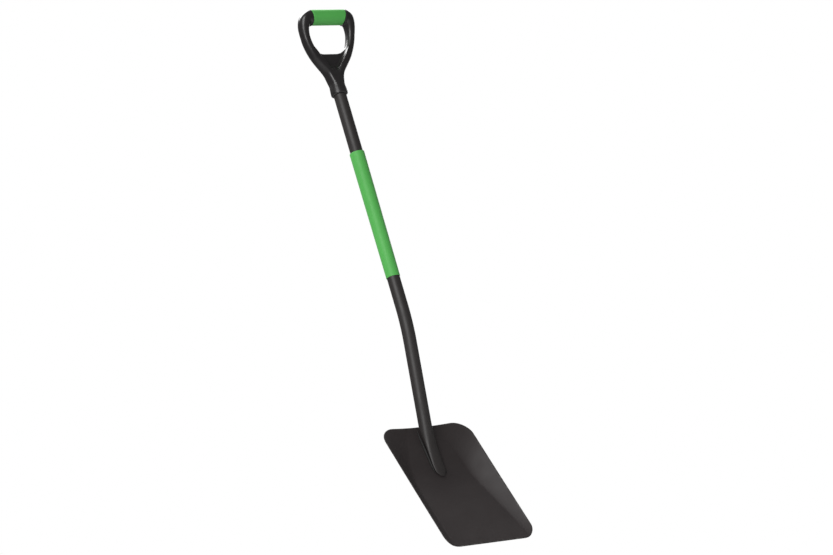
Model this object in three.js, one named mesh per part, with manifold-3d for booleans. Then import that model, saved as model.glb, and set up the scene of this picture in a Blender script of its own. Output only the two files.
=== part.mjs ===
// Garden spade: a dished sheet steel blade, a bent steel tube welded to its front, a moulded D handle on the
// tube's top, a soft sleeve on the shaft and another on the handle's crossbar.
// Millimetres, +Z up, the blade's hollow face toward -Y. The parts are laid out in the shaft's own frame,
// where the upper tube runs along Z through the corner of the bend. The group then stands them on the tip.

import * as THREE from "three";
import { mergeVertices } from "three/addons/utils/BufferGeometryUtils.js";
import Module from "manifold-3d";

const wasm = await Module();
wasm.setup();

const DEGREE = Math.PI / 180;
const CLEARANCE = 0.4;

// ---- driving dimensions -------------------------------------------------------------------------------

const tubeRadius = 12;
const tubeWall = 1.5;
const tubeTop = 495;
const bendAngle = 10.2 * DEGREE;
const bendRadius = 390;

const bladeWidth = 194;
const bladeLength = 280.4;
const sheetThickness = 1.6;
const topCornerRadius = 33;
const tipCornerRadius = 27;
const bladeLean = 22.7 * DEGREE;
const bladeTopEdge = { y: 41, z: -178.3 };
const dishAtTop = 6;
const dishAtTip = 3.5;
const dishDeepest = 28.5;
const dishDeepestAt = 105;
const dishBlend = 30;
const wallCurve = 1.45;

const landStart = 2;
const landEnd = 104;
const landEndHeight = 3.4;
const landEndWidening = 1.08;
const noseLength = 14;
const hollowIntoLanding = 8;
const beadRadius = 1.5;
const beadFrom = 0.12;
const beadTo = 0.9;

const sleeveBottom = 92;
const sleeveTop = 340;
const sleeveBottomRadius = 12.95;
const sleeveTopRadius = 13.95;

const neckHeight = 490;
const crossbarRise = 115.5;
const crossbarForward = 22;
const knuckleForward = 5;
const handleCrank = 1.25;
const handleTilt = 11 * DEGREE;
const socketDepth = 33;
const socketBore = tubeRadius + 0.35;
const socketRadius = 14.7;
const socketBandRadius = 16;
const coreRadius = 9;
const webFront = -1;
const webBack = 6;
const gripRadius = 13.6;
const gripHalfLength = 36.5;
const gripEndSlope = 0.16;
const screwDrop = 22;
const screwShank = 2;
const screwHead = 4;
const screwTip = 8.5;

// ---- solids -------------------------------------------------------------------------------------------

function toSolid(geometry) {
  geometry.deleteAttribute("normal");
  geometry.deleteAttribute("uv");
  const merged = mergeVertices(geometry, 1e-3);
  const corners = merged.index.array;
  const triangles = [];
  for (let i = 0; i < corners.length; i += 3) {
    const [a, b, c] = [corners[i], corners[i + 1], corners[i + 2]];
    if (a !== b && b !== c && c !== a) triangles.push(a, b, c);
  }
  return new wasm.Manifold(new wasm.Mesh({
    numProp: 3,
    vertProperties: merged.attributes.position.array,
    triVerts: new Uint32Array(triangles),
  }));
}

function toGeometry(solid) {
  const mesh = solid.getMesh();
  const geometry = new THREE.BufferGeometry();
  geometry.setAttribute("position", new THREE.BufferAttribute(mesh.vertProperties, mesh.numProp));
  geometry.setIndex(new THREE.BufferAttribute(mesh.triVerts, 1));
  geometry.computeVertexNormals();
  return geometry;
}

// Moves every vertex of a geometry to where the given function puts it.
function reshape(geometry, move) {
  const place = geometry.attributes.position;
  const point = new THREE.Vector3();
  for (let i = 0; i < place.count; i += 1) {
    const moved = move(point.fromBufferAttribute(place, i).clone());
    place.setXYZ(i, moved.x, moved.y, moved.z);
  }
  geometry.computeVertexNormals();
  return geometry;
}

// A closed solid through elliptical sections. "over" points to the front of each section.
function loft(sides, stations) {
  const last = stations.length - 1;
  return reshape(new THREE.CylinderGeometry(1, 1, 1, sides, last), (point) => {
    const station = stations[Math.round((0.5 - point.y) * last)];
    const across = new THREE.Vector3().crossVectors(station.over, station.travel).normalize();
    return station.centre.clone()
      .addScaledVector(across, point.x * station.halfWidth)
      .addScaledVector(station.over, point.z * station.halfDepth);
  });
}

function rod(radius, from, to, sides = 24) {
  const length = from.distanceTo(to);
  const geometry = new THREE.CylinderGeometry(radius, radius, length, sides);
  const turn = new THREE.Quaternion().setFromUnitVectors(
    new THREE.Vector3(0, 1, 0),
    to.clone().sub(from).normalize(),
  );
  geometry.applyQuaternion(turn);
  geometry.translate(...from.clone().add(to).multiplyScalar(0.5).toArray());
  return geometry;
}

function lathe(profile, sides) {
  return new THREE.LatheGeometry(profile.map(([radius, along]) => new THREE.Vector2(radius, along)), sides);
}

function mix(from, to, share) {
  return from + (to - from) * share;
}

// ---- blade --------------------------------------------------------------------------------------------

// Blade coordinates: across the blade, down it from the top edge, and out of the plane of its two side edges
// toward the front.
function onBlade(across, down, out) {
  return new THREE.Vector3(
    across,
    bladeTopEdge.y - down * Math.sin(bladeLean) - out * Math.cos(bladeLean),
    bladeTopEdge.z - down * Math.cos(bladeLean) + out * Math.sin(bladeLean),
  );
}

// How far the middle of the blade lies behind its side edges: two straight slopes, rounded where they meet.
function dish(down) {
  const entering = (dishDeepest - dishAtTop) / dishDeepestAt;
  const leaving = (dishAtTip - dishDeepest) / (bladeLength - dishDeepestAt);
  const intoBlend = down - (dishDeepestAt - dishBlend);
  if (intoBlend <= 0) return dishAtTop + entering * down;
  if (intoBlend >= 2 * dishBlend) return dishDeepest + leaving * (down - dishDeepestAt);
  return dishAtTop + entering * down - ((entering - leaving) * intoBlend ** 2) / (4 * dishBlend);
}

// Half the width of the flat floor, which widens toward the tip.
function floorHalfWidth(down) {
  return (bladeWidth / 2) * (0.1 + 0.75 * (down / bladeLength) ** 0.35);
}

function bladeSurface(across, down) {
  const floor = floorHalfWidth(down);
  const upWall = Math.max(0, (Math.abs(across) - floor) / (bladeWidth / 2 - floor));
  return dish(down) * (upWall ** wallCurve - 1);
}

// Half the blade's width, with round corners at the top edge and the tip.
function bladeHalfWidth(down) {
  const radius = down < bladeLength / 2 ? topCornerRadius : tipCornerRadius;
  const fromEnd = Math.min(down, bladeLength - down);
  const intoCorner = Math.max(0, radius - fromEnd);
  return bladeWidth / 2 - radius + Math.sqrt(radius ** 2 - intoCorner ** 2);
}

// Rows down the blade: close together round the corners, evenly spaced between them.
function bladeRow(row, cornerRows, middleRows) {
  const turn = (step) => 1 - Math.cos((step / cornerRows) * (Math.PI / 2));
  if (row <= cornerRows) return topCornerRadius * turn(row);
  const fromTip = 2 * cornerRows + middleRows - row;
  if (fromTip <= cornerRows) return bladeLength - tipCornerRadius * turn(fromTip);
  return mix(topCornerRadius, bladeLength - tipCornerRadius, (row - cornerRows) / middleRows);
}

function blade() {
  const columns = 24;
  const cornerRows = 6;
  const middleRows = 17;
  const rows = 2 * cornerRows + middleRows;
  return reshape(new THREE.BoxGeometry(2, 1, 1, columns, rows, 1), (point) => {
    const down = bladeRow(Math.round((0.5 - point.y) * rows), cornerRows, middleRows);
    const across = point.x * bladeHalfWidth(down);
    return onBlade(across, down, bladeSurface(across, down) + (point.z - 0.5) * sheetThickness);
  });
}

// ---- shaft tube ---------------------------------------------------------------------------------------

const bendTangent = bendRadius * Math.tan(bendAngle / 2);
const bendLength = bendRadius * bendAngle;
const meeting = bendAngle + bladeLean;

// Where the straight lower tube starts to come down on the blade, in blade coordinates.
const cornerDown = -(bladeTopEdge.z * -Math.cos(bladeLean) - bladeTopEdge.y * Math.sin(bladeLean));
const cornerOut = bladeTopEdge.y * Math.cos(bladeLean) - bladeTopEdge.z * Math.sin(bladeLean);
const lowerLength = (landStart - cornerDown) / Math.cos(meeting);
const landOut = cornerOut - lowerLength * Math.sin(meeting);
const landAt = bendLength + lowerLength - bendTangent;
const landLength = (landEnd - landStart) / Math.cos(meeting / 2);

const frontStart = {
  down: landStart + tubeRadius * Math.sin(meeting),
  out: landOut + tubeRadius * Math.cos(meeting),
};
const backStart = {
  down: landStart - tubeRadius * Math.sin(meeting),
  out: landOut - tubeRadius * Math.cos(meeting),
};

// The front line of the tube eases from the tube's own direction down to the blade's floor.
function frontLine(down) {
  const run = landEnd - frontStart.down;
  const straight = -Math.tan(meeting);
  const drop = -dish(landEnd) + landEndHeight - frontStart.out;
  const ease = (drop - straight * run) / run ** 2;
  const along = down - frontStart.down;
  return frontStart.out + straight * along + ease * along ** 2;
}

// The back line runs straight until it reaches the floor, then lies on it.
function backLine(down) {
  const straight = backStart.out - Math.tan(meeting) * (down - backStart.down);
  return Math.max(straight, -dish(Math.max(down, 0)) + CLEARANCE);
}

// The section of the shaft at a distance along it from the top of the bend: its centre and its two half axes,
// per millimetre of the straight tube's radius.
function shaftSection(along) {
  if (along >= landAt) {
    const share = Math.min(1, (along - landAt) / landLength);
    const frontDown = mix(frontStart.down, landEnd, share);
    const backDown = mix(backStart.down, landEnd, share);
    const front = onBlade(0, frontDown, frontLine(frontDown));
    const back = onBlade(0, backDown, backLine(backDown));
    return {
      centre: front.clone().add(back).multiplyScalar(0.5),
      over: front.clone().sub(back).divideScalar(2 * tubeRadius),
      width: mix(1, landEndWidening, share),
    };
  }
  const turned = Math.min(Math.max(along, 0), bendLength) / bendRadius;
  const straight = Math.max(along - bendLength, 0) + Math.min(along, 0);
  return {
    centre: new THREE.Vector3(
      0,
      bendRadius * (1 - Math.cos(turned)) + straight * Math.sin(turned),
      bendTangent - bendRadius * Math.sin(turned) - straight * Math.cos(turned),
    ),
    over: new THREE.Vector3(0, -Math.cos(turned), -Math.sin(turned)),
    width: 1,
  };
}

// Bends a straight piece, made along -Y from the top of the bend, round the shaft's line.
function followShaft(geometry) {
  return reshape(geometry, (point) => {
    const section = shaftSection(-point.y);
    return section.centre.clone()
      .add(new THREE.Vector3(point.x * section.width, 0, 0))
      .addScaledVector(section.over, point.z);
  });
}

function steps(from, to, count) {
  return Array.from({ length: count + 1 }, (_, i) => mix(from, to, i / count));
}

function shaftTube() {
  const top = bendTangent - tubeTop;
  const pinchedAt = landAt + hollowIntoLanding;
  const noseAt = landAt + landLength - noseLength;
  const wallStops = [top, ...steps(0, bendLength, 7)];
  const outerStops = [...wallStops, ...steps(landAt, noseAt, 9)];
  const nose = steps(0, 1, 4).map((share) => [
    tubeRadius * Math.sqrt(1 - share ** 2),
    -(noseAt + share * noseLength),
  ]);
  const bore = [...wallStops, landAt, pinchedAt];
  const profile = [
    [0, -pinchedAt],
    ...bore.reverse().map((along) => [tubeRadius - tubeWall, -along]),
    ...outerStops.map((along) => [tubeRadius, -along]),
    ...nose.slice(1),
  ];
  const tube = toSolid(followShaft(lathe(profile.reverse(), 20)));
  return toGeometry(tube.subtract(toSolid(screwHole())));
}

// The weld's bead lies in the corner between the tube's flank and the floor, thin at both ends.
function weldBead(side) {
  const stops = steps(beadFrom, beadTo, 12);
  const centres = stops.map((share) => {
    const down = mix(0, landEnd, share);
    const flank = tubeRadius * mix(1, landEndWidening, share) + beadRadius + CLEARANCE;
    const rise = bladeSurface(flank + beadRadius, down) + beadRadius + CLEARANCE;
    return onBlade(side * flank, down, rise);
  });
  const path = new THREE.CatmullRomCurve3(centres);
  const stations = stops.map((_, i) => {
    const share = i / (stops.length - 1);
    const size = beadRadius * Math.sqrt(Math.max(0.1, Math.sin(share * Math.PI)));
    const travel = path.getTangent(share);
    const front = onBlade(0, 0, 1).sub(onBlade(0, 0, 0));
    const over = front.addScaledVector(travel, -front.dot(travel)).normalize();
    return { centre: centres[i], travel, over, halfWidth: size, halfDepth: size };
  });
  return loft(8, stations);
}

// ---- shaft sleeve -------------------------------------------------------------------------------------

function shaftGrip() {
  const top = sleeveTop - bendTangent;
  const bottom = sleeveBottom - bendTangent;
  const inside = tubeRadius + CLEARANCE;
  const lip = 0.4;
  const profile = [
    [inside, bottom],
    [sleeveBottomRadius - lip, bottom],
    [sleeveBottomRadius, bottom + lip],
    [sleeveTopRadius, top - lip],
    [sleeveTopRadius - lip, top],
    [inside, top],
    [inside, bottom],
  ];
  return followShaft(lathe(profile, 28));
}

// ---- D handle -----------------------------------------------------------------------------------------

// The handle is laid out flat, with its height measured from the neck, then cranked forward over its height.
function crank(point) {
  const rise = Math.max(0, point.z);
  return new THREE.Vector3(
    point.x,
    point.y - crossbarForward * (rise / crossbarRise) ** handleCrank,
    neckHeight + Math.min(0, point.z) + rise * Math.cos(handleTilt),
  );
}

const forward = new THREE.Vector3(0, -1, 0);
const up = new THREE.Vector3(0, 0, 1);

// One arm: from the neck, out and up beside the hand opening, then over into the crossbar.
function handleArm(side) {
  const spine = new THREE.CatmullRomCurve3([
    new THREE.Vector3(side * 5.5, 0, -10),
    new THREE.Vector3(side * 12.4, 0, 12),
    new THREE.Vector3(side * 37, 0, 46),
    new THREE.Vector3(side * 49, 0, 76),
    new THREE.Vector3(side * 50, -0.2 * knuckleForward, 97),
    new THREE.Vector3(side * 45, -0.6 * knuckleForward, 111),
    new THREE.Vector3(side * (gripHalfLength + CLEARANCE), -knuckleForward, crossbarRise),
  ]);
  const count = 22;
  const stations = steps(0, 1, count).map((share) => {
    const centre = spine.getPointAt(share);
    const travel = spine.getTangentAt(share);
    const root = Math.max(0, 1 - share / 0.4);
    const knuckle = THREE.MathUtils.smoothstep(share, 0.72, 0.97);
    return {
      centre,
      travel,
      over: forward,
      halfWidth: mix(8 + 0.5 * root, gripRadius, knuckle),
      halfDepth: mix(10.5 + 3 * root, gripRadius, knuckle),
    };
  });
  const end = stations[count];
  end.travel = new THREE.Vector3(-side, 0, gripEndSlope).normalize();
  return toSolid(loft(18, stations));
}

// The thin panel between the arms, below the hand opening.
function handleWeb() {
  const openingBottom = 49.5;
  const outline = new THREE.Shape();
  outline.moveTo(-9, 0);
  outline.lineTo(9, 0);
  outline.lineTo(39, 65);
  outline.quadraticCurveTo(28, openingBottom, 13, openingBottom);
  outline.lineTo(-13, openingBottom);
  outline.quadraticCurveTo(-28, openingBottom, -39, 65);
  const panel = new THREE.ExtrudeGeometry(outline, {
    depth: webBack - webFront,
    bevelEnabled: false,
    curveSegments: 6,
  });
  panel.translate(0, 0, -webBack);
  panel.rotateX(Math.PI / 2);
  return toSolid(panel);
}

function handleNeck() {
  const sections = [
    [-10, 14.6, 14.6],
    [0, 15.2, 13.8],
    [10, 15.4, 12.4],
    [20, 13.5, 9],
    [30, 9, 4],
  ];
  const stations = sections.map(([height, halfWidth, halfDepth]) => ({
    centre: up.clone().multiplyScalar(height),
    travel: up,
    over: forward,
    halfWidth,
    halfDepth,
  }));
  return toSolid(loft(24, stations));
}

// The socket that takes the tube, with a thicker band round its mouth.
function handleSocket() {
  const profile = [
    [0, -socketDepth],
    [14, -socketDepth],
    [15, -socketDepth + 1.5],
    [socketBandRadius, -socketDepth + 4],
    [socketBandRadius, -socketDepth + 18],
    [socketRadius, -socketDepth + 19.5],
    [socketRadius, -8],
    [0, -8],
  ];
  const socket = lathe(profile, 24);
  socket.rotateX(Math.PI / 2);
  return toSolid(socket);
}

function crossbarCore() {
  const reach = gripHalfLength + 3;
  const from = new THREE.Vector3(-reach, -knuckleForward, crossbarRise);
  const to = new THREE.Vector3(reach, -knuckleForward, crossbarRise);
  return toSolid(rod(coreRadius, from, to, 20));
}

function handleYoke() {
  const laidFlat = handleSocket()
    .add(handleNeck())
    .add(handleWeb())
    .add(handleArm(-1))
    .add(handleArm(1))
    .add(crossbarCore());
  const yoke = toSolid(reshape(toGeometry(laidFlat), crank));
  const boreFrom = up.clone().multiplyScalar(neckHeight - 2 * socketDepth);
  const boreTo = up.clone().multiplyScalar(tubeTop + CLEARANCE);
  return toGeometry(yoke.subtract(toSolid(rod(socketBore, boreFrom, boreTo))).subtract(toSolid(screwHole())));
}

// The soft sleeve on the crossbar. Its ends are cut at a slant, so that it is longest along its top.
function handleGrip() {
  const bore = coreRadius + CLEARANCE;
  const profile = [
    [bore, -1],
    [gripRadius, -1],
    [gripRadius, 1],
    [bore, 1],
    [bore, -1],
  ];
  return reshape(lathe(profile, 24), (point) => {
    const end = gripHalfLength - CLEARANCE + gripEndSlope * point.z;
    return crank(new THREE.Vector3(point.y * end, -point.x - knuckleForward, crossbarRise + point.z));
  });
}

// ---- handle screw -------------------------------------------------------------------------------------

// The hole runs through the back of the socket and of the tube only.
function screwHole() {
  const height = neckHeight - screwDrop;
  const from = new THREE.Vector3(0, screwTip - 1, height);
  const to = new THREE.Vector3(0, socketBandRadius + 1, height);
  return rod(screwShank + CLEARANCE, from, to, 12);
}

// A pan head screw through the back of the socket into the tube.
function handleScrew() {
  const seat = socketBandRadius + CLEARANCE;
  const profile = [
    [0, screwTip],
    [screwShank * 0.5, screwTip],
    [screwShank, screwTip + 1.5],
    [screwShank, seat],
    [screwHead, seat],
    [screwHead, seat + 0.9],
    [screwHead * 0.75, seat + 1.9],
    [screwHead * 0.3, seat + 2.3],
    [screwHead * 0.3, seat + 1.2],
    [0, seat + 1.2],
  ];
  const screw = lathe(profile, 12);
  screw.translate(0, 0, neckHeight - screwDrop);
  return screw;
}

// ---- assembly -----------------------------------------------------------------------------------------

function piece(name, geometry, colour, roughness, metalness) {
  const material = new THREE.MeshStandardMaterial({ color: colour, roughness, metalness });
  const mesh = new THREE.Mesh(geometry, material);
  mesh.name = name;
  return mesh;
}

const coatedSteel = ["#3a3735", 0.5, 0.4];
const blackPlastic = ["#26262a", 0.25, 0];
const greenGrip = ["#5cc45c", 0.6, 0];
const screwSteel = ["#8c8c90", 0.35, 0.9];

const spade = new THREE.Group();
spade.add(
  piece("blade", blade(), ...coatedSteel),
  piece("shaft_tube", shaftTube(), ...coatedSteel),
  piece("weld_bead_left", weldBead(-1), ...coatedSteel),
  piece("weld_bead_right", weldBead(1), ...coatedSteel),
  piece("shaft_grip", shaftGrip(), ...greenGrip),
  piece("handle_yoke", handleYoke(), ...blackPlastic),
  piece("handle_grip", handleGrip(), ...greenGrip),
  piece("handle_screw", handleScrew(), ...screwSteel),
);

// The origin is the middle of the bounding box's bottom.
const box = new THREE.Box3().setFromObject(spade);
spade.position.set(0, -(box.min.y + box.max.y) / 2, -box.min.z);

export default spade;
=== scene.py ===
# Garden spade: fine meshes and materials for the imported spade, a camera, lights and a floor.
import math

import bpy
import numpy as np
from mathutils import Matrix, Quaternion, Vector


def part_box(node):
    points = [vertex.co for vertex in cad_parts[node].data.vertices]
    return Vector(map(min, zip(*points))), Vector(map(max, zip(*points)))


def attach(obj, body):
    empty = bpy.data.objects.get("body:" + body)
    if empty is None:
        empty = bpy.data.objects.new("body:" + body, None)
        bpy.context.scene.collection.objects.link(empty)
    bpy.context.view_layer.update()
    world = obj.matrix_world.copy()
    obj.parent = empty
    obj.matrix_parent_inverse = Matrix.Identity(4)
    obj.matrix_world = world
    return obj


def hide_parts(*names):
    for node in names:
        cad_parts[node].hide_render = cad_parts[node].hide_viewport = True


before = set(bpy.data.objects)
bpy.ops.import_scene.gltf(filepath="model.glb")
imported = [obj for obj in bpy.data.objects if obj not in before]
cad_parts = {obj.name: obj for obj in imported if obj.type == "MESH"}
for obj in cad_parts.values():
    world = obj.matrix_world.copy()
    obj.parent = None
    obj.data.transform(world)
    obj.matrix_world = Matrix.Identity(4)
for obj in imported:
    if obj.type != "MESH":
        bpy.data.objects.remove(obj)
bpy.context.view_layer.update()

MM = 0.001

# ---- sizes, in millimetres, in the shaft's own frame ---------------------------------------------

tube_radius = 12.0
tube_top = 495.0
bend_angle = math.radians(10.2)
bend_radius = 390.0

blade_width = 194.0
blade_length = 280.4
sheet_thickness = 1.6
top_corner_radius = 33.0
tip_corner_radius = 27.0
blade_lean = math.radians(22.7)
blade_top_y = 41.0
blade_top_z = -178.3
dish_at_top = 6.0
dish_at_tip = 3.5
dish_deepest = 28.5
dish_deepest_at = 105.0
dish_blend = 30.0
floor_share_at_top = 0.1
floor_share_gained = 0.75
floor_taper = 0.35
wall_curve = 1.45
rim_round = 0.5
# How far in from the rim the painted rim highlight reaches.
rim_highlight_reach = 3.0

land_start = 2.0
land_end = 104.0
land_end_height = 3.4
land_end_widening = 0.96
nose_length = 20.0
land_gap = 0.2

bead_from = 0.1
bead_to = 0.92
bead_radius = 2.6
bead_stand_off = 0.3
bead_pools = 30

sleeve_bottom = 92.0
sleeve_bottom_radius = 12.95
sleeve_top_radius = 13.95
sleeve_round = 0.7

neck_height = 490.0
crossbar_rise = 115.5
crossbar_forward = 22.0
knuckle_forward = 5.0
handle_crank = 1.25
handle_tilt = math.radians(11.0)
handle_voxel = 0.6

arm_half_width = 8.0
arm_half_depth = 10.5
arm_root_share = 0.4
arm_root_widening = 0.5
arm_root_deepening = 3.0
arm_fullness = 2.3
knuckle_overlap = 0.2
outer_knuckle = (0.70, 0.95)
inner_knuckle = (0.86, 0.98)
ridge_turn = math.radians(54.0)
ridge_radius = 2.6

web_front = -1.0
web_back = 6.0
opening_bottom = 49.5

socket_depth = 33.0
socket_band_radius = 16.0
socket_radius = 14.7
socket_mouth_radius = 14.2

core_radius = 9.0
core_overlap = 3.0
grip_radius = 13.6
grip_half_length = 36.5
grip_end_gap = 0.8
grip_end_slope = 0.16
grip_round = 1.0

screw_drop = 22.0
screw_tip = 9.0
screw_shank = 2.0
screw_head = 4.0
screw_head_side = 0.9
screw_dome = 1.5
recess_depth = 1.3
recess_half_width = 0.42
recess_reach = 2.3

# The corner of the shaft's bend lies on the axis of the sleeve, this far under the sleeve's lower end.
sleeve_low, sleeve_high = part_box("shaft_grip")
bend_corner = Vector((0.0, (sleeve_low.y + sleeve_high.y) / 2, sleeve_low.z - sleeve_bottom * MM))
sleeve_top = (sleeve_high.z - bend_corner.z) / MM

# ---- camera --------------------------------------------------------------------------------------

# The distance and the aim are in metres, the lens in millimetres on a 36 mm sensor.
view_azimuth = math.radians(-37.48)
view_elevation = math.radians(-16.63)
view_roll = math.radians(16.45)
view_distance = 5.7675
view_lens = 138.3
view_aim = bend_corner + Vector((0.0187, -0.0417, 0.0728))


def direction(azimuth, elevation):
    """The unit vector from the object toward a viewer. Azimuth 0 faces the blade's hollow front."""
    level = math.cos(elevation)
    return Vector((math.sin(azimuth) * level, -math.cos(azimuth) * level, math.sin(elevation)))


def make_camera():
    lens = bpy.data.cameras.new("camera")
    lens.sensor_width = 36.0
    lens.lens = view_lens
    lens.clip_end = 50.0
    camera = bpy.data.objects.new("camera", lens)
    bpy.context.scene.collection.objects.link(camera)
    back = direction(view_azimuth, view_elevation)
    camera.location = view_aim + back * view_distance
    camera.rotation_mode = "QUATERNION"
    camera.rotation_quaternion = back.to_track_quat("Z", "Y") @ Quaternion((0, 0, 1), -view_roll)
    bpy.context.scene.camera = camera


make_camera()

# ---- mesh helpers --------------------------------------------------------------------------------


def mix(start, end, share):
    return start + (end - start) * share


def smoothstep(value, low, high):
    share = np.clip((value - low) / (high - low), 0.0, 1.0)
    return share * share * (3.0 - 2.0 * share)


def unit_rows(vectors):
    return vectors / np.linalg.norm(vectors, axis=1)[:, None]


def tube_faces(rings, sides, closed_rings=False):
    """Quads between rings of points. Closed rings join the last ring to the first as well."""
    faces = []
    for ring in range(rings if closed_rings else rings - 1):
        low = ring * sides
        high = (ring + 1) % rings * sides
        for side in range(sides):
            turn = (side + 1) % sides
            faces.append((low + side, low + turn, high + turn, high + side))
    return faces


def capped_tube(rings):
    """The points and faces of a tube through rings of points, closed at both ends by a fan."""
    rings = np.asarray(rings, float)
    count, sides, _ = rings.shape
    faces = tube_faces(count, sides)
    first = count * sides
    for side in range(sides):
        turn = (side + 1) % sides
        faces.append((first, turn, side))
        last = first - sides
        faces.append((first + 1, last + side, last + turn))
    points = np.vstack([rings.reshape(-1, 3), rings[0].mean(0), rings[-1].mean(0)])
    return points, faces


def circle(sides):
    turn = np.arange(sides) * (2 * math.pi / sides)
    return np.cos(turn), np.sin(turn)


def rounded_ends(count, least):
    """Shares of a full size along a bead, which grow from a small start and shrink again at its end."""
    return np.sqrt(np.maximum(least, np.sin(np.linspace(0.0, math.pi, count))))


def make_mesh(name, points, faces):
    """An object of its own in the scene, smooth, with all its faces looking outward."""
    mesh = bpy.data.meshes.new(name)
    mesh.from_pydata([tuple(point) for point in points], [], faces)
    mesh.validate()
    made = bpy.data.objects.new(name, mesh)
    bpy.context.scene.collection.objects.link(made)
    bpy.context.view_layer.objects.active = made
    made.select_set(True)
    bpy.ops.object.mode_set(mode="EDIT")
    bpy.ops.mesh.select_all(action="SELECT")
    bpy.ops.mesh.normals_make_consistent(inside=False)
    bpy.ops.object.mode_set(mode="OBJECT")
    made.select_set(False)
    mesh.shade_smooth()
    return made


def to_row(points):
    """From millimetres in the shaft's frame to metres in the object's frame."""
    return np.asarray(points, float) * MM + np.array(bend_corner)


def finish_piece(name, points, faces, node, material):
    """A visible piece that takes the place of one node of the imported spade."""
    piece = make_mesh(name, to_row(points), faces)
    piece.data.materials.append(material)
    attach(piece, "root")
    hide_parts(node)
    return piece


# ---- materials -----------------------------------------------------------------------------------

# The colour of the painted highlight along the blade's rim.
rim_highlight_colour = (0.11, 0.105, 0.10)
speck_brightness = 1.9


class Nodes:
    """A material's node tree, with short calls for the nodes it is made of."""

    def __init__(self, name, **sockets):
        self.material = bpy.data.materials.new(name)
        self.material.use_nodes = True
        self.tree = self.material.node_tree
        self.shader = self.tree.nodes["Principled BSDF"]
        for socket, value in sockets.items():
            self.shader.inputs[socket.replace("_", " ")].default_value = value
        self.place = self.tree.nodes.new("ShaderNodeTexCoord").outputs["Object"]

    def link(self, source, target):
        self.tree.links.new(source, target)

    def noise(self, scale, detail=3.0):
        """Noise with this many features to a metre."""
        made = self.tree.nodes.new("ShaderNodeTexNoise")
        made.inputs["Scale"].default_value = scale
        made.inputs["Detail"].default_value = detail
        self.link(self.place, made.inputs["Vector"])
        return made.outputs["Fac"]

    def cells(self, scale):
        """Smooth round cells, this many to a metre."""
        made = self.tree.nodes.new("ShaderNodeTexVoronoi")
        made.feature = "SMOOTH_F1"
        made.inputs["Scale"].default_value = scale
        self.link(self.place, made.inputs["Vector"])
        return made.outputs["Distance"]

    def attribute(self, name):
        """A number that the mesh holds at each of its points."""
        made = self.tree.nodes.new("ShaderNodeAttribute")
        made.attribute_name = name
        return made.outputs["Fac"]

    def range(self, value, low, high, from_low=0.3, from_high=0.7):
        """The value, spread from its own range to the range from low to high."""
        made = self.tree.nodes.new("ShaderNodeMapRange")
        made.inputs["From Min"].default_value = from_low
        made.inputs["From Max"].default_value = from_high
        made.inputs["To Min"].default_value = low
        made.inputs["To Max"].default_value = high
        self.link(value, made.inputs["Value"])
        return made.outputs["Result"]

    def times(self, first, second):
        made = self.tree.nodes.new("ShaderNodeMath")
        made.operation = "MULTIPLY"
        self.link(first, made.inputs[0])
        self.link(second, made.inputs[1])
        return made.outputs["Value"]

    def blend(self, share, first, second):
        """A colour between two colours. The first may be the output of another node."""
        made = self.tree.nodes.new("ShaderNodeMix")
        made.data_type = "RGBA"
        self.link(share, made.inputs["Factor"])
        if isinstance(first, tuple):
            made.inputs["A"].default_value = (*first, 1.0)
        else:
            self.link(first, made.inputs["A"])
        made.inputs["B"].default_value = (*second, 1.0)
        return made.outputs["Result"]

    def bump(self, height, depth_mm, strength, below=None):
        """A relief of this depth, on top of the relief below it if there is one."""
        made = self.tree.nodes.new("ShaderNodeBump")
        made.inputs["Strength"].default_value = strength
        made.inputs["Distance"].default_value = depth_mm * MM
        self.link(height, made.inputs["Height"])
        if below is not None:
            self.link(below, made.inputs["Normal"])
        return made.outputs["Normal"]

    def done(self, colour, roughness, normal):
        self.link(colour, self.shader.inputs["Base Color"])
        self.link(roughness, self.shader.inputs["Roughness"])
        self.link(normal, self.shader.inputs["Normal"])
        return self.material


def powder_coat(name, dark, light, smooth, rough):
    """Satin powder coat: a fine pebble on a slow waviness, with a painted highlight in lighter spots along
    a sheet's rim.
    """
    nodes = Nodes(name, Specular_IOR_Level=0.5)
    patches = nodes.range(nodes.noise(scale=9.0), low=0.0, high=1.0)
    colour = nodes.blend(patches, dark, light)
    speckle = nodes.noise(scale=900.0, detail=1.0)
    specks = nodes.range(speckle, low=0.0, high=0.35, from_low=0.6, from_high=0.75)
    colour = nodes.blend(specks, colour, tuple(speck_brightness * part for part in light))
    # Painted highlight: lighter spots on and near the rim, standing in for the light that the rounded rim
    # catches.
    spots = nodes.noise(scale=160.0, detail=4.0)
    rim_highlight_spots = nodes.range(spots, low=0.0, high=1.0, from_low=0.5, from_high=0.62)
    colour = nodes.blend(nodes.times(rim_highlight_spots, nodes.attribute("rim")), colour, rim_highlight_colour)
    roughness = nodes.range(nodes.noise(scale=40.0), smooth, rough)
    wave = nodes.bump(nodes.noise(scale=30.0, detail=2.0), depth_mm=0.25, strength=0.35)
    pebble = nodes.bump(nodes.noise(scale=1100.0, detail=2.0), depth_mm=0.05, strength=0.55, below=wave)
    return nodes.done(colour, roughness, pebble)


def soft_plastic(name, dark, light):
    """Moulded soft plastic: an even colour, slightly cloudy, with a fine matte grain."""
    nodes = Nodes(name, Specular_IOR_Level=0.4, Sheen_Weight=0.12, Sheen_Roughness=0.4)
    clouds = nodes.range(nodes.noise(scale=14.0, detail=4.0), low=0.0, high=1.0)
    colour = nodes.blend(clouds, dark, light)
    roughness = nodes.range(nodes.noise(scale=260.0), low=0.46, high=0.60)
    wave = nodes.bump(nodes.noise(scale=45.0, detail=2.0), depth_mm=0.30, strength=0.25)
    grain = nodes.bump(nodes.cells(scale=1300.0), depth_mm=0.06, strength=0.45, below=wave)
    return nodes.done(colour, roughness, grain)


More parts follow.
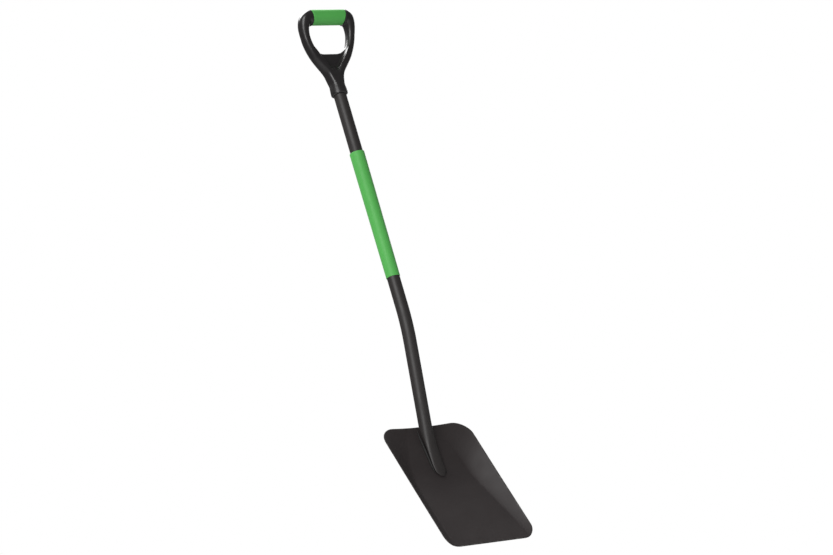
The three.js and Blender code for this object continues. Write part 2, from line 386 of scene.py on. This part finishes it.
def moulded_plastic(name, dark, light):
    """Hard black plastic: half gloss, with a faint orange peel and slightly duller patches."""
    nodes = Nodes(name, Specular_IOR_Level=0.5, Coat_Weight=0.15, Coat_Roughness=0.15)
    patches = nodes.range(nodes.noise(scale=30.0), low=0.0, high=1.0)
    colour = nodes.blend(patches, dark, light)
    roughness = nodes.range(nodes.noise(scale=60.0, detail=5.0), low=0.29, high=0.41)
    peel = nodes.bump(nodes.noise(scale=420.0, detail=2.0), depth_mm=0.05, strength=0.35)
    return nodes.done(colour, roughness, peel)


def zinc(name, dark, light):
    """Zinc plate: a fine mottle of duller and brighter spots."""
    nodes = Nodes(name, Metallic=1.0)
    mottle = nodes.range(nodes.noise(scale=500.0), low=0.0, high=1.0)
    colour = nodes.blend(mottle, dark, light)
    roughness = nodes.range(nodes.noise(scale=900.0), low=0.26, high=0.44)
    grain = nodes.bump(nodes.noise(scale=1500.0), depth_mm=0.02, strength=0.5)
    return nodes.done(colour, roughness, grain)


blade_coat = powder_coat(
    "blade_coat", dark=(0.0200, 0.0155, 0.0155), light=(0.0245, 0.0190, 0.0190), smooth=0.54, rough=0.64
)
tube_coat = powder_coat(
    "tube_coat", dark=(0.0225, 0.0195, 0.0190), light=(0.0270, 0.0238, 0.0232), smooth=0.44, rough=0.54
)
# The welds' near-black coat is painted shade: it darkens the creases beside the tube's landing, where shade
# falls.
weld_crease_shade = powder_coat(
    "weld_crease_shade", dark=(0.0050, 0.0045, 0.0045), light=(0.0080, 0.0070, 0.0070), smooth=0.60, rough=0.75
)
green_soft = soft_plastic("green_soft", dark=(0.088, 0.440, 0.086), light=(0.101, 0.475, 0.096))
black_gloss = moulded_plastic("black_gloss", dark=(0.0135, 0.0120, 0.0125), light=(0.0170, 0.0150, 0.0155))
screw_zinc = zinc("screw_zinc", dark=(0.42, 0.42, 0.40), light=(0.62, 0.62, 0.58))

# ---- blade ---------------------------------------------------------------------------------------


def on_blade(across, down, out):
    """Blade coordinates: across, down from the top edge, and out of the plane of its two side edges."""
    y = blade_top_y - down * math.sin(blade_lean) - out * math.cos(blade_lean)
    z = blade_top_z - down * math.cos(blade_lean) + out * math.sin(blade_lean)
    return np.stack(np.broadcast_arrays(across, y, z), axis=-1)


def dish(down):
    """How far the blade's middle lies behind its side edges: two slopes with a parabola between them."""
    entering = (dish_deepest - dish_at_top) / dish_deepest_at
    leaving = (dish_at_tip - dish_deepest) / (blade_length - dish_deepest_at)
    into = np.clip(down - (dish_deepest_at - dish_blend), 0.0, 2.0 * dish_blend)
    past = np.maximum(down - (dish_deepest_at + dish_blend), 0.0)
    before = np.minimum(down, dish_deepest_at + dish_blend)
    curve = (entering - leaving) * into**2 / (4.0 * dish_blend)
    return dish_at_top + entering * before - curve + leaving * past


def blade_surface(across, down):
    """How far the front lies out of the side edges' plane: a widening floor between two walls."""
    half = blade_width / 2
    share_down = np.clip(down, 0.0, blade_length) / blade_length
    floor = half * (floor_share_at_top + floor_share_gained * share_down**floor_taper)
    up_wall = np.maximum(0.0, (np.abs(across) - floor) / (half - floor))
    return dish(down) * (up_wall**wall_curve - 1.0)


def corner_reach(down, inset=0.0):
    """Half the blade's width, with round corners, drawn in all round by the inset."""
    radius = np.where(down < blade_length / 2, top_corner_radius, tip_corner_radius)
    from_end = np.minimum(down, blade_length - down)
    into = np.clip(radius - from_end, 0.0, radius - inset)
    return blade_width / 2 - radius + np.sqrt((radius - inset) ** 2 - into**2)


def blade_rows(inset, corner_rows, middle_rows):
    """Places down the blade for the mesh's rows, closer together toward the corners' ends."""
    turn = 1.0 - np.cos(np.linspace(0.0, math.pi / 2, corner_rows + 1))
    top = inset + (top_corner_radius - inset) * turn
    tip = blade_length - inset - (tip_corner_radius - inset) * turn[::-1]
    middle = np.linspace(top[-1], tip[0], middle_rows + 1)
    return np.concatenate([top, middle[1:-1], tip])


def make_blade():
    columns = 132
    rows = blade_rows(rim_round, corner_rows=16, middle_rows=120)
    across = np.linspace(-1.0, 1.0, columns + 1)[None, :] * corner_reach(rows, rim_round)[:, None]
    down = np.repeat(rows[:, None], columns + 1, axis=1)
    front = blade_surface(across, down)
    count = across.size
    index = np.arange(count).reshape(across.shape)
    rim = np.concatenate([index[0, :-1], index[:-1, -1], index[-1, :0:-1], index[:0:-1, 0]])

    # Away from the middle, square to the round-cornered outline.
    radius = np.where(down < blade_length / 2, top_corner_radius, tip_corner_radius).ravel()[rim]
    x = across.ravel()[rim]
    y = down.ravel()[rim]
    core_x = np.clip(x, radius - blade_width / 2, blade_width / 2 - radius)
    core_y = np.clip(y, radius, blade_length - radius)
    away = unit_rows(np.stack([x - core_x, y - core_y], axis=-1))

    sheets = [on_blade(across, down, front), on_blade(across, down, front - sheet_thickness)]
    points = [sheet.reshape(-1, 3) for sheet in sheets]
    turns = np.linspace(0.0, math.pi, 7)[1:-1]
    level = front.ravel()[rim]
    for turn in turns:
        bulge = rim_round * math.sin(turn)
        depth = sheet_thickness * (1.0 - math.cos(turn)) / 2.0
        points.append(on_blade(x + away[:, 0] * bulge, y + away[:, 1] * bulge, level - depth))
    faces = []
    for side in (0, count):
        grid = index + side
        corners = [grid[:-1, :-1], grid[:-1, 1:], grid[1:, 1:], grid[1:, :-1]]
        faces += [tuple(map(int, quad)) for quad in np.stack([c.ravel() for c in corners], axis=-1)]
    between = [2 * count + turn * len(rim) + np.arange(len(rim)) for turn in range(len(turns))]
    loops = [rim, *between, rim + count]
    for near, far in zip(loops[:-1], loops[1:]):
        quads = np.stack([near, np.roll(near, -1), np.roll(far, -1), far], axis=-1)
        faces += [tuple(map(int, quad)) for quad in quads]
    piece = finish_piece("blade_sheet", np.vstack(points), faces, "blade", blade_coat)

    # How near each point is to the rim, for the painted rim highlight.
    to_rim = np.minimum(blade_width / 2 - np.abs(across), np.minimum(down, blade_length - down))
    rim_highlight_share = smoothstep(-to_rim, -rim_highlight_reach, 0.0).ravel()
    rim_share = np.concatenate([rim_highlight_share, rim_highlight_share, np.ones(len(turns) * len(rim))])
    layer = piece.data.attributes.new("rim", "FLOAT", "POINT")
    layer.data.foreach_set("value", rim_share.astype(np.float32))


make_blade()

# ---- shaft tube ----------------------------------------------------------------------------------

bend_tangent = bend_radius * math.tan(bend_angle / 2)
bend_length = bend_radius * bend_angle
meeting = bend_angle + blade_lean

# The bend's corner in blade coordinates, and where the lower shaft's axis comes down to the landing.
corner_down = blade_top_z * math.cos(blade_lean) + blade_top_y * math.sin(blade_lean)
corner_out = blade_top_y * math.cos(blade_lean) - blade_top_z * math.sin(blade_lean)
lower_length = (land_start - corner_down) / math.cos(meeting)
land_out = corner_out - lower_length * math.sin(meeting)
land_at = bend_length + lower_length - bend_tangent
land_length = (land_end - land_start) / math.cos(meeting / 2)

front_start_down = land_start + tube_radius * math.sin(meeting)
front_start_out = land_out + tube_radius * math.cos(meeting)
back_start_down = land_start - tube_radius * math.sin(meeting)
back_start_out = land_out - tube_radius * math.cos(meeting)


def front_line(down):
    """The front line of the tube eases from the tube's own direction down to the blade's floor."""
    run = land_end - front_start_down
    straight = -math.tan(meeting)
    drop = -dish(land_end) + land_end_height - front_start_out
    ease = (drop - straight * run) / run**2
    along = down - front_start_down
    return front_start_out + straight * along + ease * along**2


def back_line(down):
    """The back line runs straight until it reaches the floor, then lies on it."""
    straight = back_start_out - math.tan(meeting) * (down - back_start_down)
    return max(straight, -dish(max(down, 0.0)) + land_gap)


def shaft_section(along):
    """The shaft's section this far past the bend's start: its centre, front half axis, widening."""
    if along >= land_at:
        share = min(1.0, (along - land_at) / land_length)
        front_down = mix(front_start_down, land_end, share)
        back_down = mix(back_start_down, land_end, share)
        front = on_blade(0.0, front_down, front_line(front_down))
        back = on_blade(0.0, back_down, back_line(back_down))
        widening = mix(1.0, land_end_widening, share)
        return (front + back) / 2, (front - back) / (2 * tube_radius), widening
    turned = min(max(along, 0.0), bend_length) / bend_radius
    straight = max(along - bend_length, 0.0) + min(along, 0.0)
    centre = np.array([
        0.0,
        bend_radius * (1.0 - math.cos(turned)) + straight * math.sin(turned),
        bend_tangent - bend_radius * math.sin(turned) - straight * math.cos(turned),
    ])
    return centre, np.array([0.0, -math.cos(turned), -math.sin(turned)]), 1.0


def shaft_ring(along, radius, sides):
    """A ring of points round the shaft."""
    centre, over, widening = shaft_section(along)
    x, z = circle(sides)
    across = np.outer(x * radius * widening, np.array([1.0, 0.0, 0.0]))
    return centre + across + np.outer(z * radius, over)


def make_tube():
    """The shaft, from inside the handle's socket down to the nose of its flattened end."""
    sides = 72
    nose_rings = 16
    nose_at = land_at + land_length - nose_length
    stops = np.concatenate([
        np.linspace(bend_tangent - tube_top, 0.0, 40)[:-1],
        np.linspace(0.0, bend_length, 30)[:-1],
        np.linspace(bend_length, land_at, 24)[:-1],
        np.linspace(land_at, nose_at, 60),
    ])
    rings = [shaft_ring(along, tube_radius, sides) for along in stops]
    for share in np.sin(np.linspace(0.0, math.pi / 2, nose_rings))[1:-1]:
        radius = tube_radius * math.sqrt(1 - share**2)
        rings.append(shaft_ring(nose_at + share * nose_length, radius, sides))
    points, faces = capped_tube(rings)
    finish_piece("tube", points, faces, "shaft_tube", tube_coat)


def make_bead(name, side, node):
    """A weld in the corner between the tube's flank and the floor: a row of overlapping pools."""
    count = 150
    sides = 20
    shares = np.linspace(bead_from, bead_to, count)
    down = shares * land_end
    flank = tube_radius * mix(1.0, land_end_widening, shares) + bead_radius * bead_stand_off
    rise = blade_surface(flank + bead_radius, down) + bead_radius * bead_stand_off
    centres = on_blade(side * flank, down, rise)
    travel = unit_rows(np.gradient(centres, axis=0))
    sideways = np.array([1.0, 0.0, 0.0])
    pool_share = np.linspace(0.0, bead_pools, count) % 1.0
    size = bead_radius * rounded_ends(count, least=0.03) * mix(0.84, 1.0, np.sqrt(pool_share))
    x, z = circle(sides)
    rings = []
    for centre, way, radius in zip(centres, travel, size):
        across = sideways - way * sideways.dot(way)
        across /= np.linalg.norm(across)
        over = np.cross(way, across)
        rings.append(centre + radius * (np.outer(x, across) + np.outer(z, over)))
    points, faces = capped_tube(rings)
    # The bead's near-black coat is painted shade in the crease.
    finish_piece(name, points, faces, node, weld_crease_shade)


make_tube()
make_bead("weld_left", -1.0, "weld_bead_left")
make_bead("weld_right", 1.0, "weld_bead_right")

# ---- soft sleeves --------------------------------------------------------------------------------


def sleeve_profile(bore, low_radius, high_radius, low, high, rounding, spans):
    """A closed profile of a sleeve, as pairs of radius and place along it, with rounded outer lips."""
    lip_points = 7
    profile = [(bore, low)]
    for turn in np.linspace(0.0, math.pi / 2, lip_points):
        lift = 1.0 - math.cos(turn)
        profile.append((low_radius - rounding * (1.0 - math.sin(turn)), low + rounding * lift))
    for share in np.linspace(0.0, 1.0, spans + 2)[1:-1]:
        profile.append((mix(low_radius, high_radius, share), mix(low + rounding, high - rounding, share)))
    for turn in np.linspace(math.pi / 2, 0.0, lip_points):
        lift = 1.0 - math.cos(turn)
        profile.append((high_radius - rounding * (1.0 - math.sin(turn)), high - rounding * lift))
    profile.append((bore, high))
    return profile


def level_rings(profile, sides):
    """Rings round the shaft's axis, from pairs of radius and height."""
    x, z = circle(sides)
    rings = []
    for radius, height in profile:
        rings.append(np.stack([x * radius, z * radius, np.full(sides, height)], axis=-1))
    return rings


def make_shaft_sleeve():
    """The soft sleeve on the shaft, a little thicker toward its top."""
    sides = 96
    profile = sleeve_profile(
        tube_radius,
        sleeve_bottom_radius,
        sleeve_top_radius,
        sleeve_bottom,
        sleeve_top,
        sleeve_round,
        spans=60,
    )
    rings = level_rings(profile, sides)
    points = np.asarray(rings).reshape(-1, 3)
    faces = tube_faces(len(profile), sides, closed_rings=True)
    finish_piece("shaft_sleeve", points, faces, "shaft_grip", green_soft)


make_shaft_sleeve()

# ---- D handle ------------------------------------------------------------------------------------


def crank(points):
    """The handle is laid out flat, with its height measured from the neck, then cranked forward."""
    points = np.array(points, float)
    rise = np.maximum(0.0, points[:, 2])
    below = np.minimum(0.0, points[:, 2])
    points[:, 1] -= crossbar_forward * (rise / crossbar_rise) ** handle_crank
    points[:, 2] = neck_height + below + rise * math.cos(handle_tilt)
    return points


def catmull_rom(knots, count):
    """Evenly spaced points on a centripetal Catmull-Rom curve through the knots."""
    steps = 40
    knots = np.asarray(knots, float)
    knots = np.vstack([2 * knots[0] - knots[1], knots, 2 * knots[-1] - knots[-2]])
    dense = []
    for p0, p1, p2, p3 in zip(knots[:-3], knots[1:-2], knots[2:-1], knots[3:]):
        gaps = [np.linalg.norm(b - a) ** 0.5 for a, b in ((p0, p1), (p1, p2), (p2, p3))]
        t0 = 0.0
        t1 = gaps[0]
        t2 = t1 + gaps[1]
        t3 = t2 + gaps[2]
        for t in np.linspace(t1, t2, steps, endpoint=False):
            a1 = (t1 - t) / (t1 - t0) * p0 + (t - t0) / (t1 - t0) * p1
            a2 = (t2 - t) / (t2 - t1) * p1 + (t - t1) / (t2 - t1) * p2
            a3 = (t3 - t) / (t3 - t2) * p2 + (t - t2) / (t3 - t2) * p3
            b1 = (t2 - t) / (t2 - t0) * a1 + (t - t0) / (t2 - t0) * a2
            b2 = (t3 - t) / (t3 - t1) * a2 + (t - t1) / (t3 - t1) * a3
            dense.append((t2 - t) / (t2 - t1) * b1 + (t - t1) / (t2 - t1) * b2)
    dense = np.vstack([dense, knots[-2]])
    travelled = np.concatenate([[0.0], np.cumsum(np.linalg.norm(np.diff(dense, axis=0), axis=1))])
    wanted = np.linspace(0.0, travelled[-1], count)
    return np.stack([np.interp(wanted, travelled, dense[:, axis]) for axis in range(3)], axis=-1)


forward = np.array([0.0, -1.0, 0.0])


def loft(centres, travel, half_width, half_depth, sides, other_half_width=None, fullness=2.0):
    """A capped tube of elliptical sections, their depth along the forward direction. A section may be wider
    on one side than on the other, and a fullness above 2 makes it squarer."""
    x, z = circle(sides)
    if other_half_width is None:
        other_half_width = half_width
    rings = []
    for centre, way, wide, other, deep in zip(centres, travel, half_width, other_half_width, half_depth):
        across = np.cross(forward, way)
        across /= np.linalg.norm(across)
        reach = x * np.where(x > 0.0, wide, other)
        full = (np.abs(x) ** fullness + np.abs(z) ** fullness) ** (-1.0 / fullness)
        rings.append(centre + np.outer(reach * full, across) + np.outer(z * deep * full, forward))
    return capped_tube(rings)


def arm_spine(side, count):
    """Points along the middle of an arm, from inside the neck up to the crossbar's end."""
    return catmull_rom(
        [
            (side * 5.5, 0.0, -10.0),
            (side * 12.4, 0.0, 12.0),
            (side * 37.0, 0.0, 46.0),
            (side * 49.0, 0.0, 76.0),
            (side * 50.0, -0.2 * knuckle_forward, 97.0),
            (side * 45.0, -0.6 * knuckle_forward, 111.0),
            (side * (grip_half_length + 0.1), -knuckle_forward, crossbar_rise),
        ],
        count,
    )


def arm_widths(shares):
    """The arm's inner and outer half widths and its half depth, which all grow into the knuckle."""
    root = np.maximum(0.0, 1.0 - shares / arm_root_share)
    outer_growth = smoothstep(shares, *outer_knuckle)
    inner_growth = smoothstep(shares, *inner_knuckle)
    knuckle_radius = grip_radius + knuckle_overlap
    plain_width = arm_half_width + arm_root_widening * root
    plain_depth = arm_half_depth + arm_root_deepening * root
    inner = mix(plain_width, knuckle_radius, inner_growth)
    outer = mix(plain_width, knuckle_radius, outer_growth)
    deep = mix(plain_depth, knuckle_radius, outer_growth)
    return inner, outer, deep


def handle_arm(side):
    """One arm of the D, on the left (-1) or on the right (1)."""
    count = 90
    sides = 48
    centres = arm_spine(side, count)
    travel = unit_rows(np.gradient(centres, axis=0))
    travel[-1] = np.array([-side, 0.0, grip_end_slope])
    inner, outer, deep = arm_widths(np.linspace(0.0, 1.0, count))
    if side > 0.0:
        return loft(centres, travel, inner, deep, sides, outer, arm_fullness)
    return loft(centres, travel, outer, deep, sides, inner, arm_fullness)


def arm_ridge(side):
    """A raised line down the arm's inner border, from the hand opening to the neck."""
    count = 90
    ridge_part = slice(21, 50)
    spine = arm_spine(side, count)
    shares = np.linspace(0.0, 1.0, count)
    travel = unit_rows(np.gradient(spine, axis=0))
    inward = np.cross(travel, forward) * side
    wide, _, deep = arm_widths(shares)
    sideways = (wide * math.cos(ridge_turn))[:, None]
    outward = (deep * math.sin(ridge_turn))[:, None]
    lines = (spine - inward * sideways + forward * outward)[ridge_part]
    size = ridge_radius * rounded_ends(len(lines), least=0.05)
    return loft(lines, travel[ridge_part], size, size, sides=12)


def handle_web():
    """The thin panel between the arms. Its top edge, the hand opening's, curves up into them."""
    in_arm = np.array([39.0, 65.0])
    corner = np.array([28.0, opening_bottom])
    on_bottom = np.array([13.0, opening_bottom])
    right = [np.array([9.0, 0.0])]
    for t in np.linspace(0.0, 1.0, 16):
        right.append((1 - t) ** 2 * in_arm + 2 * t * (1 - t) * corner + t**2 * on_bottom)
    left = [point * np.array([-1.0, 1.0]) for point in reversed(right)]
    outline = np.array(right + left)
    count = len(outline)
    near = np.column_stack([outline[:, 0], np.full(count, web_front), outline[:, 1]])
    far = near + np.array([0.0, web_back - web_front, 0.0])
    faces = [tuple(range(count)), tuple(range(2 * count - 1, count - 1, -1))]
    faces += [(i, i + count, (i + 1) % count + count, (i + 1) % count) for i in range(count)]
    return np.vstack([near, far]), faces


def handle_neck():
    """The neck is round on the socket and thins forward and backward as it spreads into the web."""
    count = 30
    heights = [-10.0, 0.0, 8.0, 14.0, 20.0, 26.0]
    half_widths = [14.6, 15.2, 15.4, 14.6, 12.5, 9.0]
    half_depths = [14.6, 13.7, 11.8, 8.8, 5.2, 1.5]
    height = np.linspace(heights[0], heights[-1], count)
    wide = np.interp(height, heights, half_widths)
    deep = np.interp(height, heights, half_depths)
    centres = np.column_stack([np.zeros(count), np.zeros(count), height])
    travel = np.tile([0.0, 0.0, 1.0], (count, 1))
    return loft(centres, travel, wide, deep, sides=64)


def handle_socket():
    """The socket that takes the tube, flared to a thicker band round its mouth."""
    mouth = -socket_depth
    profile = [
        (socket_mouth_radius, mouth),
        (socket_band_radius - 0.5, mouth + 0.8),
        (socket_band_radius, mouth + 2.6),
        (socket_band_radius - 0.1, mouth + 9.0),
        (socket_band_radius - 0.7, mouth + 16.0),
        (socket_radius, mouth + 22.0),
        (socket_radius, -8.0),
    ]
    return capped_tube(level_rings(profile, sides=72))


def crossbar_ring(reach, radius, sides):
    """A ring round the crossbar's axis. The reach along it may differ from point to point."""
    x, z = circle(sides)
    y = x * radius - knuckle_forward
    height = z * radius + crossbar_rise
    return np.stack(np.broadcast_arrays(reach, y, height), axis=-1)


def crossbar_core():
    """The bar inside the crossbar's sleeve. Its ends are buried in the knuckles."""
    reach = grip_half_length + core_overlap
    return capped_tube([crossbar_ring(end, core_radius, sides=40) for end in (-reach, reach)])


def relax(points, edges, rounds, share):
    """Draws every point toward the middle of its neighbours, so that joins become fillets. The share
    of the way may differ from point to point."""
    count = len(points)
    links = np.zeros(count)
    np.add.at(links, edges.ravel(), 1.0)
    for _ in range(rounds):
        total = np.zeros_like(points)
        np.add.at(total, edges[:, 0], points[edges[:, 1]])
        np.add.at(total, edges[:, 1], points[edges[:, 0]])
        points = mix(points, total / links[:, None], share)
    return points


def remeshed(points, faces, voxel_mm):
    """One skin round overlapping closed solids: its points in millimetres, and its faces and edges."""
    rough = make_mesh("rough", np.asarray(points) * MM, faces)
    modifier = rough.modifiers.new("skin", "REMESH")
    modifier.mode = "VOXEL"
    modifier.voxel_size = voxel_mm * MM
    skin = bpy.data.meshes.new_from_object(rough.evaluated_get(bpy.context.evaluated_depsgraph_get()))
    found = np.array([vertex.co for vertex in skin.vertices], float) / MM
    edges = np.array([edge.vertices for edge in skin.edges])
    quads = [tuple(polygon.vertices) for polygon in skin.polygons]
    bpy.data.objects.remove(rough)
    return found, quads, edges


def make_yoke():
    """The moulded handle: overlapping solids under one skin, its joins eased into fillets."""
    solids = [handle_socket(), handle_neck(), handle_web(), crossbar_core()]
    for side in (-1.0, 1.0):
        solids += [handle_arm(side), arm_ridge(side)]
    points = []
    faces = []
    first = 0
    for solid_points, solid_faces in solids:
        points.append(solid_points)
        faces += [tuple(first + corner for corner in face) for face in solid_faces]
        first += len(solid_points)
    skin, quads, edges = remeshed(np.vstack(points), faces, handle_voxel)
    skin = relax(skin, edges, rounds=5, share=0.5)

    # The web's borders and the neck are eased more than the ridges, the knuckles and the socket's mouth.
    depth = np.abs(skin[:, 1])
    height = skin[:, 2]
    between_arms = smoothstep(height, 2.0, 12.0) * (1.0 - smoothstep(height, 70.0, 84.0))
    behind_ridges = 1.0 - smoothstep(depth, 6.0, 9.0)
    neck = smoothstep(height, -29.0, -25.0) * (1.0 - smoothstep(height, 8.0, 22.0))
    share = 0.6 * np.maximum(between_arms * behind_ridges, neck)
    skin = relax(skin, edges, rounds=40, share=share[:, None])
    skin = crank(skin)
    finish_piece("yoke", skin, quads, "handle_yoke", black_gloss)


def make_crossbar_sleeve():
    """The soft sleeve on the crossbar. Its ends are cut at a slant, so that it is longest along its top."""
    sides = 96
    half = grip_half_length - grip_end_gap
    profile = sleeve_profile(core_radius, grip_radius, grip_radius, -half, half, grip_round, spans=40)
    _, z = circle(sides)
    rings = []
    for radius, along in profile:
        slant = 1.0 + grip_end_slope * z * radius / half
        rings.append(crossbar_ring(along * slant, radius, sides))
    points = crank(np.asarray(rings).reshape(-1, 3))
    faces = tube_faces(len(profile), sides, closed_rings=True)
    finish_piece("crossbar_sleeve", points, faces, "handle_grip", green_soft)


def make_screw():
    """A pan head with a cross recess, on a shank that goes through the back of the socket."""
    sides = 96
    point_length = 1.5
    point_radius = 0.9
    dome_rings = 44
    centre_radius = 0.15
    slope_length = 0.3
    x, z = circle(sides)
    seat = socket_band_radius
    rings = []

    def ring(radius, along):
        rings.append(np.stack([x * radius, np.full(sides, along), z * radius], axis=-1))

    ring(point_radius, screw_tip)
    ring(screw_shank, screw_tip + point_length)
    ring(screw_shank, seat)
    ring(screw_head, seat)
    ring(screw_head, seat + screw_head_side)
    for radius in np.linspace(screw_head - 0.1, centre_radius, dome_rings):
        rise = math.sqrt(max(0.0, 1.0 - (radius / screw_head) ** 2)) ** 0.8
        ring(radius, seat + screw_head_side + screw_dome * rise)
        across = np.minimum(np.abs(x), np.abs(z)) * radius
        inside = 1.0 - smoothstep(across, recess_half_width * 0.8, recess_half_width * 1.2)
        near = 1.0 - smoothstep(radius, recess_reach - slope_length, recess_reach)
        rings[-1][:, 1] -= recess_depth * inside * near
    points, faces = capped_tube(rings)
    points[:, 2] += neck_height - screw_drop
    finish_piece("screw", points, faces, "handle_screw", screw_zinc)


make_yoke()
make_crossbar_sleeve()
make_screw()

# ---- stage ---------------------------------------------------------------------------------------

floor_colour = (0.66, 0.66, 0.655, 1.0)
floor_reach = 12.0
floor_fade_from = 0.35
floor_fade_to = 1.6
world_light = 0.17


def make_floor():
    """A pale floor that fades out around the spade and can be seen through from below."""
    ends = ((-1.0, -1.0), (1.0, -1.0), (1.0, 1.0), (-1.0, 1.0))
    corners = [(x * floor_reach, y * floor_reach, 0.0) for x, y in ends]
    floor = make_mesh("floor", corners, [(0, 1, 2, 3)])
    nodes = Nodes("floor", Base_Color=floor_colour, Roughness=0.7)
    away = nodes.tree.nodes.new("ShaderNodeVectorMath")
    away.operation = "LENGTH"
    nodes.link(nodes.place, away.inputs[0])
    faded = nodes.range(
        away.outputs["Value"], low=0.0, high=1.0, from_low=floor_fade_from, from_high=floor_fade_to
    )
    facing = nodes.tree.nodes.new("ShaderNodeNewGeometry")
    unseen = nodes.tree.nodes.new("ShaderNodeMath")
    unseen.operation = "MAXIMUM"
    nodes.link(faded, unseen.inputs[0])
    nodes.link(facing.outputs["Backfacing"], unseen.inputs[1])
    clear = nodes.tree.nodes.new("ShaderNodeBsdfTransparent")
    either = nodes.tree.nodes.new("ShaderNodeMixShader")
    nodes.link(unseen.outputs["Value"], either.inputs["Fac"])
    nodes.link(nodes.shader.outputs["BSDF"], either.inputs[1])
    nodes.link(clear.outputs["BSDF"], either.inputs[2])
    nodes.link(either.outputs["Shader"], nodes.tree.nodes["Material Output"].inputs["Surface"])
    floor.data.materials.append(nodes.material)


def make_light(name, azimuth, elevation, distance, size, power, aim_height):
    """A soft panel that looks at a point on the shaft's line, in degrees, metres and watts."""
    aim = Vector((0.0, 0.0, aim_height))
    away = direction(math.radians(azimuth), math.radians(elevation))
    lamp = bpy.data.lights.new(name, "AREA")
    lamp.shape = "RECTANGLE"
    lamp.size, lamp.size_y = size
    lamp.energy = power
    light = bpy.data.objects.new(name, lamp)
    bpy.context.scene.collection.objects.link(light)
    light.location = aim + away * distance
    light.rotation_mode = "QUATERNION"
    light.rotation_quaternion = away.to_track_quat("Z", "Y")


def make_world():
    """White for the camera, and a softer white for the light that falls on the object."""
    world = bpy.data.worlds.new("studio")
    world.use_nodes = True
    tree = world.node_tree
    backdrop = tree.nodes["Background"]
    backdrop.inputs["Color"].default_value = (1.0, 1.0, 1.0, 1.0)
    path = tree.nodes.new("ShaderNodeLightPath")
    level = tree.nodes.new("ShaderNodeMapRange")
    level.inputs["To Min"].default_value = world_light
    level.inputs["To Max"].default_value = 1.0
    tree.links.new(path.outputs["Is Camera Ray"], level.inputs["Value"])
    tree.links.new(level.outputs["Result"], backdrop.inputs["Strength"])
    bpy.context.scene.world = world


make_floor()
make_light(
    "key", azimuth=-50.0, elevation=14.0, distance=2.8, size=(1.6, 2.4), power=62.0, aim_height=0.5
)
make_light(
    "top", azimuth=-172.0, elevation=67.0, distance=2.2, size=(1.8, 1.8), power=100.0, aim_height=0.9
)
make_light(
    "back", azimuth=130.0, elevation=28.0, distance=2.8, size=(1.4, 1.8), power=22.0, aim_height=0.6
)
make_world()
bpy.context.scene.view_settings.view_transform = "Standard"
